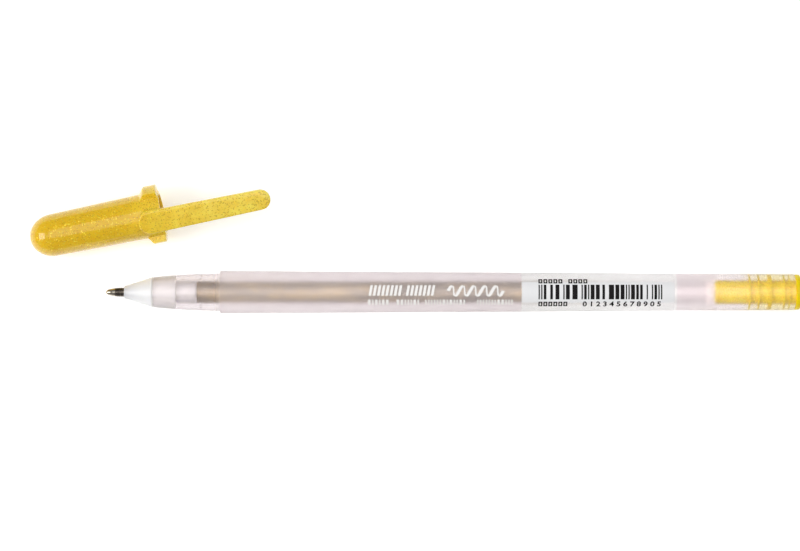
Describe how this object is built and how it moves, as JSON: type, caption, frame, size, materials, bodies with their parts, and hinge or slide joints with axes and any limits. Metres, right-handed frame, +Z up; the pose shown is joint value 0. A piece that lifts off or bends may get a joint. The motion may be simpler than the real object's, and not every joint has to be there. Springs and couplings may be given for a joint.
{
  "type": "gel pen",
  "caption": "Stick gel pen with a frosted tapered barrel over an ink tube, a push-in nose cone with a metal ball tip, and its glittery clip cap lying beside it.",
  "frame": {"origin": "the middle of the footprint of pen and cap as they lie, at the surface that they lie on", "axes": "+X along the pen from the writing point to the end plug, +Z up, +Y from the pen towards the cap beside it"},
  "size_m": [0.1616, 0.0272, 0.0115],
  "materials": {
    "barrel_plastic": "frosted, translucent, faintly pink white",
    "cone_plastic": "milky translucent moulding",
    "tip_metal": "turned nickel silver, polished",
    "ball_metal": "ground carbide, wet with gold ink",
    "valve_metal": "polished steel ball",
    "tube_plastic": "clear extruded tube",
    "ink": "metallic gold gel",
    "grease": "translucent follower grease",
    "plug_plastic": "translucent golden yellow moulding",
    "cap_plastic": "translucent gold moulding full of fine glitter flakes",
    "seal_rubber": "soft matt elastomer",
    "label": "white film label with black bars"
  },
  "bodies": {
    "pen": {"barrel": "barrel_plastic", "nose_cone": "cone_plastic", "tip_body": "tip_metal", "ink_tube": "tube_plastic", "gel_ink": "ink", "end_plug": "plug_plastic", "barcode_label": "label"},
    "ball": {"writing_ball": "ball_metal"},
    "valve": {"check_ball": "valve_metal"},
    "follower": {"ink_follower": "grease"},
    "cap": {"cap_shell": "cap_plastic", "tip_seal": "seal_rubber"},
    "clip": {"cap_clip": "cap_plastic"}
  },
  "joints": [
    {"name": "ball_roll", "type": "hinge", "parent": "pen", "child": "ball", "pos_m": [-0.06435, -0.00911, 0.00447], "axis": [0, 1, 0], "continuous": true},
    {"name": "valve_travel", "type": "slide", "parent": "pen", "child": "valve", "axis": [1, 0, 0], "range_m": [-0.0004, 0.0006]},
    {"name": "ink_use", "type": "slide", "parent": "pen", "child": "follower", "axis": [-1, 0, 0], "range_m": [0, 0.0785], "deforming": ["gel_ink"]},
    {"name": "cap_line_up", "type": "hinge", "parent": "pen", "child": "cap", "pos_m": [-0.1486, 0.13166, 0.00478], "axis": [0, 0, -1], "range_deg": [0, 11.6]},
    {"name": "clip_flex", "type": "hinge", "parent": "cap", "child": "clip", "pos_m": [-0.05745, 0.00515, 0.00966], "axis": [0.1923, -0.9368, -0.2924], "range_deg": [0, 6], "stiffness_Nm_per_rad": 2}
  ]
}
